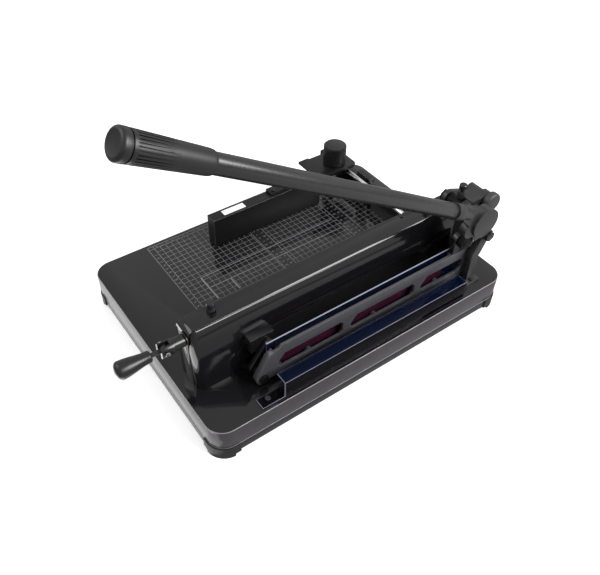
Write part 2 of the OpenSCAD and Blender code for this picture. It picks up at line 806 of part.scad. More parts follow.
// The carrier's front pin passes through the link with play: the loop is opened here.
module link_pin() {
  color("silver") {
    rod_x(carrier_in - 0.2, link_in + link_t + 0.4, link_y, link_z, 4);
    rod_x(carrier_in - 3.5, carrier_in - 0.1, link_y, link_z, 7);
    rod_x(carrier_in + carrier_t + 0.1, link_in - 0.6, link_y, link_z, 6.5);
  }
}

// ---------------------------------------------------------------- rear bracket

module outer_ear_2d() {
  o = [pivot_y - front_y, pivot_z - deck_z];
  tapered_bar_2d(o, 17, [o[0] + 3, 60], 19);
  tapered_bar_2d(o, 14, buffer_at, 12);
  polygon([[466, 0], [512, 0], [505, 62], [465, 62]]);
}

module rear_bracket() {
  o = [pivot_y - front_y, pivot_z - deck_z];
  ear_end = inner_ear_in + inner_ear_t;
  tie_y = front_y + buffer_at[0];
  tie_z = deck_z + buffer_at[1];
  color([0.3, 0.3, 0.31]) difference() {
    union() {
      translate([0, front_y, deck_z]) plate_yz(outer_ear_in, outer_ear_in + outer_ear_t) outer_ear_2d();
      // Foot flange of the outer ear.
      block(outer_ear_in, 77, 470, 510, 0, 9);
      // Inner ear on the bridge's top.
      translate([0, front_y, deck_z]) plate_yz(inner_ear_in, ear_end) {
        tapered_bar_2d(o, 12.5, [510, 114], 8);
        polygon([[469, bridge_h], [515, bridge_h], [515, 112], [469, 116]]);
        translate([buffer_at[0], 125]) circle(r = 6);
        translate([buffer_at[0] - 6, bridge_h]) square([12, 23]);
      }
      // Barrel that ties the ears together.
      rod_x(outer_ear_in, 90, tie_y, tie_z, 9);
      rod_x(89, inner_ear_in + 1, tie_y, tie_z - 6, 6);
      // Boss for the stay's stud.
      rod_x(outer_ear_in - 2.5, outer_ear_in + 1, front_y + stay_at[0], deck_z + stay_at[1], 8);
      // Web from the barrel and the outer ear to the latch.
      block(outer_ear_in, latch_in + 6, o[0], buffer_at[0], 136, 139.5);
      place(latch_in, o[0], 135) cylinder(h = 11, r = 6);
    }
    rod_x(outer_ear_in - 1, outer_ear_in + outer_ear_t + 1, pivot_y, pivot_z, pivot_r + bush_t);
    rod_x(inner_ear_in - 1, ear_end + 1, pivot_y, pivot_z, pivot_r + bush_t);
    rod_x(outer_ear_in - 5, inner_ear_in - 20, tie_y, tie_z, 4);
    rod_x(outer_ear_in - 5, outer_ear_in + 10, front_y + stay_at[0], deck_z + stay_at[1], 4);
    place(latch_in, o[0], 130) cylinder(h = 20, r = 3 + fit);
    place(99.5, 492, bridge_h - 1) cylinder(h = 8, r = 2);
    place(71, 490, -1) cylinder(h = 12, r = 3);
  }
}

module pivot_bushes() {
  color("goldenrod") for (e = [[outer_ear_in, outer_ear_t], [inner_ear_in, inner_ear_t]]) difference() {
    rod_x(e[0], e[0] + e[1], pivot_y, pivot_z, pivot_r + bush_t);
    rod_x(e[0] - 1, e[0] + e[1] + 1, pivot_y, pivot_z, pivot_r + fit);
  }
}

module pivot_shaft() {
  ear_end = inner_ear_in + inner_ear_t;
  color("silver") difference() {
    union() {
      rod_x(hub_in + 2, ear_end + 0.4, pivot_y, pivot_z, pivot_r);
      rod_x(ear_end, ear_end + 5.5, pivot_y, pivot_z, 6);
      rod_x(hub_in + hub_t, outer_ear_in - 0.5, pivot_y, pivot_z, pivot_r + 3.5);
    }
    // Dimples under the collar's two latch holes.
    for (a = [0, lift_max]) translate([right_x - latch_in, pivot_y, pivot_z]) rotate([a, 0, 0])
      translate([0, 0, pivot_r - 1.5]) cylinder(h = 10, r = 3.4);
  }
}

// A collar on the shaft with a hole for the latch pin at each end of the lever's travel.
module shaft_collar() {
  color("silver") difference() {
    rod_x(latch_in - 7, latch_in + 7, pivot_y, pivot_z, collar_r);
    rod_x(latch_in - 8, latch_in + 8, pivot_y, pivot_z, pivot_r);
    for (a = [0, lift_max]) translate([right_x - latch_in, pivot_y, pivot_z]) rotate([a, 0, 0])
      translate([0, 0, pivot_r - 1]) cylinder(h = 10, r = 3.4);
  }
}

module pivot_nut() {
  in0 = inner_ear_in + inner_ear_t + 0.4;
  color("silver") difference() {
    union() {
      rod_x(in0, in0 + 1.4, pivot_y, pivot_z, 10);
      translate([right_x - in0 - 4.6, pivot_y, pivot_z]) rotate([0, 90, 0]) hex_nut(17, 3.2 + eps);
    }
    rod_x(in0 - 1, in0 + 12, pivot_y, pivot_z, 6);
  }
}

module latch_pin() {
  color([0.12, 0.12, 0.12]) place(latch_in, pivot_y - front_y, 0) {
    translate([0, 0, 134]) cylinder(h = 19, r = 3);
    translate([0, 0, 152]) cylinder(h = 6, r = 6);
    translate([0, 0, 158]) cylinder(h = 1.2, r1 = 6, r2 = 4.8);
  }
}

module stop_buffer() {
  y = front_y + buffer_at[0];
  z = deck_z + buffer_at[1];
  color([0.1, 0.1, 0.1]) {
    rod_x(40, outer_ear_in - 0.01, y, z, 15.5);
    rod_x(outer_ear_in - 1, inner_ear_in - 22, y, z, 3.95);
  }
}

// Outboard support of the knife's rear end, which also carries the lever's down-stop.
module stay_arm() {
  in0 = hub_in;
  in1 = hub_in + 11;
  color([0.3, 0.3, 0.31]) difference() {
    union() {
      translate([0, front_y, deck_z]) plate_yz(in0, in1) {
        polygon([[474, 0], [493, 0], [489, 12], [489, 50], [478, 64], [474, 58]]);
        bar_2d([484, 58], stay_at, 17);
      }
      block(in0 - 7, in1 + 1, 470, 497, 0, 4);
    }
    rod_x(in0 - 1, in1 + 1, front_y + stay_at[0], deck_z + stay_at[1], 4);
    place(in0 - 3.2, 483, -1) cylinder(h = 8, r = 1.8);
  }
}

module stay_bolt() {
  color([0.1, 0.1, 0.1]) translate([0, front_y + stay_at[0], deck_z + stay_at[1]]) {
    rod_x(hub_in - 7, outer_ear_in + 9, 0, 0, 3.95);
    rod_x(hub_in - 2, hub_in - eps, 0, 0, 10);
    translate([right_x - hub_in + 1.9, 0, 0]) rotate([0, 90, 0]) hex_nut(15, 5);
    rod_x(hub_in + 11.2, outer_ear_in - 2.6, 0, 0, 6.5);
  }
}

module bracket_screws() {
  color([0.2, 0.2, 0.2]) {
    place(71, 490, 9) socket_screw(6, 9);
    // Stud that holds the inner ear to the bridge.
    place(99.5, 492, bridge_h - 7.5) cylinder(h = 14.5, r = 1.98);
    place(hub_in - 3.2, 483, 4) {
      cylinder(h = 2, r = 3);
      translate([0, 0, -4]) cylinder(h = 4 + eps, r = 1.75);
    }
    for (y = bracket_ys) place(0, y, bracket_z) {
      translate([-90, 0, 0]) rotate([0, 90, 0]) cylinder(h = 14, r = 1.95);
      translate([-91.5, 0, 0]) rotate([0, 90, 0]) cylinder(h = 4.3, r = 3.6);
    }
  }
}

// ---------------------------------------------------------------- lever

// Places children with +X along the lever, at the pivot, in the lever's plane.
module on_lever() {
  translate([right_x - tube_in, pivot_y, pivot_z]) rotate([-lever_rest, 0, 0]) rotate([0, 0, -90])
    translate([0, 0, tube_lift]) children();
}

// Side profile of the hub, about the pivot: its disc, its neck and the root of the crank.
module hub_2d() {
  u = [-cos(lever_rest), sin(lever_rest)];
  v = [sin(lever_rest), cos(lever_rest)];
  circle(r = hub_r);
  tapered_bar_2d([0, 0], 17, [-8, -22], 9);
  tapered_bar_2d([-2, 0], 21, [-25, -5], 13);
  tapered_bar_2d([0, 0], 18, 47 * u + tube_lift * v, 11.5);
}

module lever_hub() {
  color([0.3, 0.3, 0.31]) difference() {
    union() {
      translate([0, pivot_y, pivot_z]) plate_yz(hub_in, hub_in + hub_t) hub_2d();
      rod_x(hub_in - hub_boss, hub_in + 1, pivot_y, pivot_z, hub_r);
      on_lever() translate([42, 0, 0]) rotate([0, 90, 0]) cylinder(h = 22, r = 9.5);
      on_lever() translate([64 - eps, 0, 0]) rotate([0, 90, 0]) cylinder(h = socket_end - 64, r = 12.2);
    }
    rod_x(hub_in + 2, hub_in + hub_t + 1, pivot_y, pivot_z, pivot_r);
    on_lever() translate([66, 0, 0]) rotate([0, 90, 0]) cylinder(h = 60, d = tube_d);
  }
}

// Crank arm under the hub, which carries the knife's pin.
module crank_arm() {
  color([0.08, 0.08, 0.08]) difference() {
    translate([0, pivot_y, pivot_z]) plate_yz(hub_in + 4, hub_in + hub_t) difference() {
      tapered_bar_2d([-8, -12], 14, [crank_y, crank_z], crank_lobe_r);
      hub_2d();
    }
    rod_x(hub_in, hub_in + hub_t + 1, pin_y, pin_z, crank_pin_r);
  }
}

module crank_pin() {
  color("silver") rod_x(hub_in + 3, carrier_in + carrier_t + 0.3, pin_y, pin_z, crank_pin_r);
}

module lever_tube() {
  start = 66;
  color([0.24, 0.24, 0.25]) on_lever() translate([start, 0, 0]) rotate([0, 90, 0]) difference() {
    cylinder(h = lever_l - start - cap_l - 2, d = tube_d);
    translate([0, 0, -1]) cylinder(h = lever_l - start - cap_l - 4, d = tube_d - 5);
  }
}

module tube_ring() {
  color([0.03, 0.03, 0.03]) on_lever() translate([socket_end, 0, 0]) rotate([0, 90, 0]) difference() {
    cylinder(h = 2.4, d = tube_d + 3);
    translate([0, 0, -1]) cylinder(h = 5, d = tube_d);
  }
}

// Grip: a smooth neck and a sleeve with lengthwise ribs that widens outwards.
module lever_grip() {
  ribs = 28;
  body = grip_l - cap_l;
  r0 = neck_d / 2;
  r1 = grip_d / 2;
  color([0.2, 0.2, 0.21]) on_lever() translate([lever_l - grip_l, 0, 0]) rotate([0, 90, 0]) difference() {
    rotate_extrude() polygon([
      [0, 0], [r0 - 2.2, 0], [r0 - 0.4, 2], [r0, 5], [r0 + 0.3, 13], [r1 - 0.3, body - 6], [r1 - 0.3, body - 1.5],
      [r1 - 1.8, body - 1.5], [r1 - 1.8, body], [0, body]
    ]);
    translate([0, 0, -1]) cylinder(h = body - 1, d = tube_d);
    for (k = [0:ribs - 1]) rotate(k * 360 / ribs)
      translate([r1 - 1, 0, 16]) rotate([0, -1.1, 0]) translate([0, -0.7, 0]) cube([3, 1.4, body - 22]);
  }
}

module grip_cap() {
  r = grip_d / 2;
  round_r = 4;
  color([0.2, 0.2, 0.21]) on_lever() translate([lever_l - cap_l, 0, 0]) rotate([0, 90, 0]) rotate_extrude()
    polygon(concat(
      [[0, 0], [r, 0], [r, cap_l - round_r]],
      [for (i = [1:6]) [r - round_r * (1 - cos(i * 15)), cap_l - round_r + round_r * sin(i * 15)]],
      [[r - 6, cap_l - 0.6], [0, cap_l - 1.2]]
    ));
}

// ---------------------------------------------------------------- guard

module blade_guard() {
  t = 3;
  y0 = 112;
  y1 = 450;
  top = 31;
  color([0.3, 0.45, 0.9, 0.35]) difference() {
    union() {
      block(5, 5 + t, y0, y1, 0.1, top);
      block(5, 23, 76, y1, 0.1, t);
      block(5, 25, y0, y1, top - t, top);
    }
    for (y = [90, 200, 330, 435]) place(15, y, -1) cylinder(h = 6, r = 2.1);
  }
}

module guard_screws() {
  color([0.2, 0.2, 0.2]) for (y = [90, 200, 330, 435]) place(15, y, 3.1) {
    difference() {
      cylinder(h = 2.2, r = 4);
      translate([-2.6, -0.5, 1.2]) cube([5.2, 1, 2]);
    }
    translate([0, 0, -3]) cylinder(h = 3 + eps, r = 1.95);
  }
}

// ---------------------------------------------------------------- paper stop

module rear_fence() {
  color([0.08, 0.08, 0.09]) difference() {
    union() {
      block(bridge_left + 2, 366, fence_y, fence_y + fence_t, 0, fence_h);
      block(bridge_left + 2, 366, fence_y, fence_y + 24, 0, 5);
      block(268, 301, 471, fence_y + 5, 0, 54.6);
    }
    for (x = [150, 230, 350]) place(x, fence_y + 17, -1) cylinder(h = 8, r = 2.1);
  }
}

module fence_screws() {
  color([0.2, 0.2, 0.2]) for (x = [150, 230, 350]) place(x, fence_y + 17, 5.01) {
    difference() {
      cylinder(h = 3, r = 4);
      translate([0, 0, 1]) cylinder(h = 4, r = 2, $fn = 6);
    }
    translate([0, 0, -5]) cylinder(h = 5 + eps, r = 1.95);
  }
}

module rod_blocks() {
  color([0.08, 0.08, 0.09]) for (x = [[bridge_left + 4, bridge_left + 18], [377, 386]]) difference() {
    block(x[0], x[1], rod_y - 8, x[0] > 300 ? rod_y + 12 : fence_y - 0.01, 0, rod_z + 7);
    rod_x(x[0] - 1, x[1] + 1, front_y + rod_y, deck_z + rod_z, rod_r);
  }
}

module guide_rod() {
  color([0.85, 0.85, 0.86]) rod_x(bridge_left + 5, 385, front_y + rod_y, deck_z + rod_z, rod_r - eps);
}

// Carriage that slides on the rod and carries the stop.
module stop_carriage() {
  r = 9;
  top = plate_z + plate_t;
  color([0.12, 0.12, 0.13]) difference() {
    union() {
      block(324, 341, 304, 400, plate_z, top);
      block(313, 341, 385, 480, plate_z, top);
      block(340, 375, 396, 417, plate_z, top);
      block(340, 372, 416, 480, plate_z, top);
      block(322, 358, 442, 470, 42, plate_z + eps);
    }
    rod_x(300, 380, front_y + rod_y, deck_z + rod_z, rod_r + fit);
    place(knob_in, knob_y, 40) cylinder(h = 40, r = 3);
    for (y = [312, 392]) place(331, y, 50) cylinder(h = 20, r = 2);
    // Rounded outer rear corner.
    difference() {
      place(313, 480, plate_z - 1) translate([-r, -r, 0]) cube([2 * r, 2 * r, plate_t + 2]);
      place(313, 480, plate_z - 2) translate([-r, -r, 0]) cylinder(h = plate_t + 4, r = r);
    }
  }
}

module side_stop() {
  color([0.05, 0.05, 0.05]) difference() {
    block(stop_in, stop_in + stop_t, stop_front, stop_front + stop_l, 0.4, stop_h);
    for (y = [312, 392]) place(331, y, stop_h - 9) cylinder(h = 12, r = 1.9);
  }
}

module stop_label() {
  color("white") block(stop_in + 4.5, stop_in + 16.5, 213, 254, stop_h, stop_h + 0.4);
}

module stop_knob() {
  ribs = 40;
  z0 = 61;
  h = 34;
  color([0.08, 0.08, 0.08]) place(knob_in, knob_y, z0) difference() {
    union() {
      cylinder(h = h - 1.5, d = knob_d - 1);
      translate([0, 0, h - 1.6]) cylinder(h = 1.6, d = knob_d - 4);
      translate([0, 0, -0.8]) cylinder(h = 1, d = 26);
    }
    for (k = [0:ribs - 1]) rotate(k * 360 / ribs)
      translate([knob_d / 2, 0, 3]) cylinder(h = h - 6, r = 0.9);
    translate([0, 0, -3]) cylinder(h = 20, r = 3);
  }
}

module knob_stud() {
  color("silver") place(knob_in, knob_y, 0) translate([0, 0, 36]) cylinder(h = 40, r = 2.95);
}

module stop_screws() {
  color([0.2, 0.2, 0.2]) for (y = [312, 392]) place(331, y, plate_z + plate_t) {
    difference() {
      cylinder(h = 2.4, r = 3.8);
      translate([0, 0, 1]) cylinder(h = 3, r = 1.7, $fn = 6);
    }
    translate([0, 0, -12]) cylinder(h = 12 + eps, r = 1.85);
  }
}

// ---------------------------------------------------------------- drawing

base_plate();
base_pan();
corner_feet();
foot_screws();
cutting_stick();
front_leg();
rear_leg();
bridge_beam();
side_cover();
beam_screws();
cover_studs();
shaft_bushes();
clamp_shaft();
clamp_pinions();
clamp_bar();
rack_posts();
post_nuts();
handle_clevis();
fold_pin();
handle_rod();
handle_grip();
knife_carrier();
carrier_ear();
blade_shield();
knife_blade();
blade_bolts();
link_bracket();
link_bolt();
front_link();
link_pin();
rear_bracket();
pivot_bushes();
pivot_shaft();
shaft_collar();
pivot_nut();
lever_hub();
crank_arm();
crank_pin();
lever_tube();
tube_ring();
lever_grip();
grip_cap();
latch_pin();
stop_buffer();
stay_arm();
stay_bolt();
bracket_screws();
blade_guard();
guard_screws();
rear_fence();
fence_screws();
rod_blocks();
guide_rod();
stop_carriage();
side_stop();
stop_label();
stop_knob();
knob_stud();
stop_screws();
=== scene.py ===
import math

import bmesh
import bpy
from mathutils import Matrix, Vector


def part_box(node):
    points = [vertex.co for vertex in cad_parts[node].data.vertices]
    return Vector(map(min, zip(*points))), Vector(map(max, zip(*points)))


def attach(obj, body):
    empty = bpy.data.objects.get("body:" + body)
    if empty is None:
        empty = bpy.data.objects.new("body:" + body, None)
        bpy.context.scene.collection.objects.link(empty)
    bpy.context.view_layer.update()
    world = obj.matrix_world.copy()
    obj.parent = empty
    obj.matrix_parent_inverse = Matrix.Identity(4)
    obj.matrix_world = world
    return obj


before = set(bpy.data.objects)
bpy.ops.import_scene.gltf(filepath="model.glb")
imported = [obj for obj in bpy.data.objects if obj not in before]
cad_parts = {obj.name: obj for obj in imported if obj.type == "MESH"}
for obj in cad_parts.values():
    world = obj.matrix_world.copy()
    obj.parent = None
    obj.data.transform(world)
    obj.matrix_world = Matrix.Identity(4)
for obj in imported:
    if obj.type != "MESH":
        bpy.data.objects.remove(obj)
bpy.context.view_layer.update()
MM = 0.001


# ------------------------------------------------------------------ places

deck_lo, deck_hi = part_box("base_plate")
DECK_TOP = deck_hi.z
RIGHT = deck_hi.x
FRONT = deck_lo.y


def at(inset, along, up):
    """A point given in millimetres from the deck's right edge, its front edge and its top."""
    return Vector((RIGHT - inset * MM, FRONT + along * MM, DECK_TOP + up * MM))


# ------------------------------------------------------------------ materials

def new_material(name):
    """A node material, with what its functions need: its tree, its shader and the object's coordinates."""
    mat = bpy.data.materials.new(name)
    mat.use_nodes = True
    nt = mat.node_tree
    bsdf = nt.nodes["Principled BSDF"]
    coord = nt.nodes.new("ShaderNodeTexCoord")
    return mat, nt, bsdf, coord.outputs["Object"]


def noise(nt, coord, scale, detail=4, rough=0.55, stretch=None):
    """A noise from 0 to 1, whose grain can be drawn out along an axis."""
    if stretch:
        mapping = nt.nodes.new("ShaderNodeMapping")
        mapping.inputs["Scale"].default_value = stretch
        nt.links.new(coord, mapping.inputs["Vector"])
        coord = mapping.outputs["Vector"]
    node = nt.nodes.new("ShaderNodeTexNoise")
    node.inputs["Scale"].default_value = scale
    node.inputs["Detail"].default_value = detail
    node.inputs["Roughness"].default_value = rough
    nt.links.new(coord, node.inputs["Vector"])
    return node.outputs["Fac"]


def spread(nt, value, low, high):
    """Stretches the middle of a noise, where most of its values lie, over a range."""
    node = nt.nodes.new("ShaderNodeMapRange")
    node.inputs["From Min"].default_value = 0.3
    node.inputs["From Max"].default_value = 0.7
    node.inputs["To Min"].default_value = low
    node.inputs["To Max"].default_value = high
    nt.links.new(value, node.inputs["Value"])
    return node.outputs["Result"]


def tint(nt, value, dark, light):
    """A colour between two, as a noise goes from 0 to 1."""
    node = nt.nodes.new("ShaderNodeMix")
    node.data_type = "RGBA"
    nt.links.new(value, node.inputs["Factor"])
    node.inputs["A"].default_value = (*dark, 1)
    node.inputs["B"].default_value = (*light, 1)
    return node.outputs["Result"]


def bump(nt, bsdf, value, height):
    """A relief of the given height, in metres."""
    node = nt.nodes.new("ShaderNodeBump")
    node.inputs["Distance"].default_value = height
    node.inputs["Strength"].default_value = 1.0
    nt.links.new(value, node.inputs["Height"])
    nt.links.new(node.outputs["Normal"], bsdf.inputs["Normal"])


def surface(name, color, rough, grain, grain_h=0.0, vary=0.15, metal=0.0, coat=0.0, stretch=None,
            specular=0.5, mottling=60.0):
    """Paint, plastic or metal: a mottled colour, an uneven roughness and a fine grain in the relief.

    rough is the lowest and highest roughness, grain_h the grain's height in metres, and vary the part by
    which the colour goes up and down. grain and mottling are the scales of the fine and the soft noise.
    """
    mat, nt, bsdf, coord = new_material(name)
    soft = noise(nt, coord, mottling, detail=3)
    fine = noise(nt, coord, grain, detail=3, rough=0.6, stretch=stretch)
    dark = [c * (1 - vary) for c in color]
    light = [c * (1 + vary) for c in color]
    nt.links.new(tint(nt, soft, dark, light), bsdf.inputs["Base Color"])
    nt.links.new(spread(nt, fine, *rough), bsdf.inputs["Roughness"])
    bsdf.inputs["Metallic"].default_value = metal
    bsdf.inputs["Specular IOR Level"].default_value = specular
    bsdf.inputs["Coat Weight"].default_value = coat
    bsdf.inputs["Coat Roughness"].default_value = 0.1
    if grain_h:
        bump(nt, bsdf, fine, grain_h)
    return mat


def acrylic(name, color, body, rough=(0.03, 0.08)):
    """Tinted clear sheet: a faint gloss over a veil of colour, whose body is 0 if clear and 1 if solid."""
    mat, nt, bsdf, coord = new_material(name)
    dark = [c * 0.8 for c in color]
    soft = noise(nt, coord, 12, detail=2)
    smear = noise(nt, coord, 30, detail=2)
    nt.links.new(tint(nt, soft, dark, color), bsdf.inputs["Base Color"])
    nt.links.new(spread(nt, smear, *rough), bsdf.inputs["Roughness"])
    bsdf.inputs["Alpha"].default_value = body
    bsdf.inputs["Specular IOR Level"].default_value = 0.08
    return mat


M = {
    # Deck, cover and stop: black paint from glossy to satin.
    "deck": surface("deck_gloss", (0.006, 0.006, 0.0068), (0.06, 0.11), 260),
    # The deck's sides: painted light, a paint several times lighter than the top's.
    "lit_deck_flank": surface("deck_flank_satin_painted_light", (0.042, 0.038, 0.042), (0.16, 0.26), 700, 0.000004),
    "cover": surface("cover_gloss", (0.005, 0.005, 0.006), (0.08, 0.14), 300),
    "stop": surface("stop_satin", (0.005, 0.005, 0.0055), (0.30, 0.40), 900, 0.000004, specular=0.35),
    # A pale gray for rounded edges: a painted highlight along the edges.
    "edge_highlight": surface("painted_edge_highlight", (0.20, 0.19, 0.20), (0.15, 0.25), 500, 0.000004,
                         mottling=25, vary=0.5),
    # Painted castings, bars and pressings.
    "pan": surface("pan_satin", (0.02, 0.02, 0.022), (0.22, 0.34), 1400, 0.000004),
    "carrier": surface("carrier_paint", (0.050, 0.050, 0.055), (0.26, 0.40), 1100, 0.00001),
    "casting": surface("casting_paint", (0.019, 0.019, 0.0205), (0.26, 0.40), 1100, 0.00001),
    # A darker, duller black for the crank and pins under the hub: painted shade.
    "mechanism_shade": surface("painted_shade_black", (0.004, 0.004, 0.0045), (0.45, 0.6), 1200, 0.00001, specular=0.15),
    "black": surface("black_paint", (0.007, 0.007, 0.008), (0.18, 0.3), 1200, 0.000008),
    "clamp": surface("clamp_paint", (0.012, 0.012, 0.013), (0.22, 0.34), 1000, 0.000008),
    "tube": surface("tube_satin", (0.011, 0.011, 0.012), (0.24, 0.32), 1500, stretch=(1, 0.15, 0.15),
                    specular=0.62),
    "blade": surface("blade_paint", (0.17, 0.016, 0.010), (0.12, 0.22), 700, 0.000004, coat=0.4),
    # Bare metal.
    "steel": surface("turned_steel", (0.34, 0.34, 0.35), (0.18, 0.32), 700, 0.000004, metal=1.0,
                     stretch=(8, 1, 1)),
    "chrome": surface("rod_chrome", (0.86, 0.86, 0.88), (0.03, 0.08), 300, metal=1.0),
    "bronze": surface("bush_bronze", (0.045, 0.038, 0.03), (0.25, 0.4), 900, 0.000004, metal=1.0),
    "oxide": surface("oxide_steel", (0.035, 0.035, 0.038), (0.2, 0.34), 1200, 0.000006, metal=0.6),
    # Plastic, rubber and print.
    "foot": surface("foot_plastic", (0.012, 0.012, 0.013), (0.35, 0.5), 1600, 0.00001),
    "grip": surface("grip_plastic", (0.008, 0.0078, 0.0086), (0.36, 0.48), 1500, 0.000006),
    "plastic": surface("knob_plastic", (0.007, 0.007, 0.0075), (0.25, 0.38), 1400, 0.000006),
    "rubber": surface("buffer_rubber", (0.03, 0.03, 0.031), (0.42, 0.55), 1200, 0.00001),
    "stick": surface("stick_plastic", (0.28, 0.03, 0.025), (0.4, 0.5), 900, 0.000008),
    "label": surface("label_white", (0.86, 0.86, 0.86), (0.4, 0.5), 1200, 0.000004, vary=0.02),
    "print": surface("print_white", (0.27, 0.27, 0.28), (0.3, 0.45), 1800, 0.000004, vary=0.12),
    # Clear sheets and their cut edges, with painted highlights on the edges and a darker painted-shade
    # copy of the guard's sheet.
    "acrylic": acrylic("blue_acrylic", (0.001, 0.004, 0.018), 0.7),
    "shield": acrylic("pale_acrylic", (0.0015, 0.006, 0.026), 0.35),
    # A near-black copy of the guard's blue sheet for its upright part and foot: painted shade.
    "guard_shade": acrylic("acrylic_painted_shade", (0.001, 0.001, 0.003), 0.7, rough=(0.04, 0.08)),
    # Pale cut ends and rounded edges of the guard: a painted highlight.
    "pale_edge_highlight": surface("acrylic_edge_painted_highlight", (0.19, 0.185, 0.26), (0.2, 0.3), 900, 0.000004),
    # A pale line on the shield's top rim and rounded edges: a painted highlight.
    "rim_highlight_line": surface("acrylic_rim_painted_highlight", (0.27, 0.28, 0.33), (0.2, 0.3), 900, 0.000004),
    "edge_blue": surface("acrylic_edge", (0.015, 0.03, 0.28), (0.25, 0.4), 900, 0.000004),
}

LOOK = {
    "deck": ["base_plate", "bridge_beam", "rear_fence"],
    "cover": ["side_cover", "front_leg", "rear_leg"],
    "stop": ["side_stop", "stop_carriage", "rod_blocks"],
    "pan": ["base_pan"],
    "foot": ["corner_feet"],
    "carrier": ["knife_carrier"],
    "casting": ["rear_bracket", "lever_hub", "stay_arm"],
    # The crank and pins under the hub take the painted-shade black.
    "mechanism_shade": ["crank_arm", "crank_pin", "link_pin", "shaft_collar", "pivot_shaft", "pivot_nut"],
    "black": ["link_bracket", "front_link", "carrier_ear", "handle_clevis"],
    "steel": ["foot_screws", "clamp_shaft", "clamp_pinions", "fold_pin", "knob_stud"],
    "chrome": ["guide_rod"],
    "bronze": ["shaft_bushes", "pivot_bushes"],
    "clamp": ["clamp_bar"],
    "oxide": ["rack_posts", "handle_rod", "link_bolt", "beam_screws", "cover_studs", "post_nuts",
              "blade_bolts", "stay_bolt", "bracket_screws", "guard_screws", "fence_screws", "stop_screws"],
    "tube": ["lever_tube"],
    "grip": ["lever_grip", "grip_cap"],
    "plastic": ["handle_grip", "latch_pin", "stop_knob", "tube_ring"],
    "rubber": ["stop_buffer"],
    "blade": ["knife_blade"],
    "stick": ["cutting_stick"],
    "label": ["stop_label"],
    "acrylic": ["blade_guard"],
    "shield": ["blade_shield"],
}
for look, names in LOOK.items():
    for name in names:
        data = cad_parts[name].data
        data.materials.clear()
        data.materials.append(M[look])

# A face counts as square to an axis when this much of its normal lies along it.
SQUARE = 0.9


def add_materials(name, looks):
    """Adds materials after a node's first one, and returns its mesh."""
    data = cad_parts[name].data
    for look in looks:
        data.materials.append(M[look])
    return data


def paint_shield():
    """The shield has the blue of its mass at its cut ends, and a painted highlight: a pale line along its
    top rim.
    """
    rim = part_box("blade_shield")[1].z - 0.2 * MM
    for poly in add_materials("blade_shield", ["edge_blue", "rim_highlight_line"]).polygons:
        if abs(poly.normal.y) > SQUARE:
            poly.material_index = 1
        elif poly.normal.z > SQUARE and poly.center.z > rim:
            poly.material_index = 2


def paint_guard():
    """The guard's cut ends are pale, a painted highlight, and its upright sheet and its foot are darker
    than its shelf, a painted shade on the one sheet.
    """
    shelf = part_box("blade_guard")[1].z - 4 * MM
    for poly in add_materials("blade_guard", ["pale_edge_highlight", "guard_shade"]).polygons:
        if abs(poly.normal.y) > SQUARE:
            poly.material_index = 1
        # Below the shelf the sheet takes the darker copy: painted shade.
        elif poly.center.z < shelf:
            poly.material_index = 2


def paint_deck():
    """The deck's sides are more satin than its top, and carry painted light: their colour is several times
    lighter than the top's.
    """
    for poly in add_materials("base_plate", ["lit_deck_flank"]).polygons:
        if abs(poly.normal.z) < 0.5 and poly.center.z > deck_lo.z + 4 * MM:
            poly.material_index = 1


paint_shield()
paint_guard()
paint_deck()
# These nodes give their rounded edges a pale gray: a painted highlight.
for name in ("base_plate", "base_pan", "knife_carrier", "rear_fence", "side_stop"):
    add_materials(name, ["edge_highlight"])

# The material slot that the rounded edges take, on the nodes whose edges carry a painted highlight: a pale
# material on the edge faces.
EDGE_SLOT = {"blade_guard": 1, "blade_shield": 2, "base_plate": 2, "base_pan": 1, "knife_carrier": 1,
             "rear_fence": 1, "side_stop": 1}

# Widths of the rounded edges on the carried-over solids, in millimetres.
EDGE_OTHER = 0.35
EDGE = {"base_plate": 0.9, "base_pan": 0.6, "corner_feet": 1.6, "bridge_beam": 0.2, "side_cover": 0.5,
        "knife_carrier": 0.6, "rear_bracket": 1.4, "lever_hub": 2.2, "stay_arm": 1.2, "stop_buffer": 3.4,
        "side_stop": 1.0, "stop_carriage": 1.0, "rear_fence": 0.8, "blade_guard": 0.4, "blade_shield": 0.3,
        "knife_blade": 0.2, "front_link": 0.8, "link_bracket": 0.8, "rod_blocks": 0.8}
# These keep the full width of their edge where small faces would narrow it.
FREE_EDGE = ("base_plate", "base_pan", "blade_guard")


def round_edges(name, obj):
    """Welds doubled points, joins faces that lie flat together, and rounds the edges that stay."""
    weld = obj.modifiers.new("weld", "WELD")
    weld.merge_threshold = 0.01 * MM
    flat = obj.modifiers.new("flat", "DECIMATE")
    flat.decimate_type = "DISSOLVE"
    flat.angle_limit = math.radians(0.2)
    bevel = obj.modifiers.new("edges", "BEVEL")
    bevel.width = EDGE.get(name, EDGE_OTHER) * MM
    bevel.segments = 3
    bevel.limit_method = "ANGLE"
    bevel.angle_limit = math.radians(34)
    bevel.harden_normals = True
    # Some nodes put a pale material on their rounded edges: a painted highlight.
    bevel.material = EDGE_SLOT.get(name, -1)
    bevel.use_clamp_overlap = name not in FREE_EDGE
    for poly in obj.data.polygons:
        poly.use_smooth = True


for name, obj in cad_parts.items():
    round_edges(name, obj)


# ------------------------------------------------------------------ pieces

def mesh_piece(name, bm, look, body):
    """A piece of the visual model that rides on a body."""
    mesh = bpy.data.meshes.new(name)
    bm.to_mesh(mesh)
    bm.free()
    obj = bpy.data.objects.new(name, mesh)
    bpy.context.scene.collection.objects.link(obj)
    mesh.materials.append(M[look])
    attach(obj, body)


# The print's lower and upper face above the deck, in millimetres.
PRINT_Z = (0.02, 0.1)


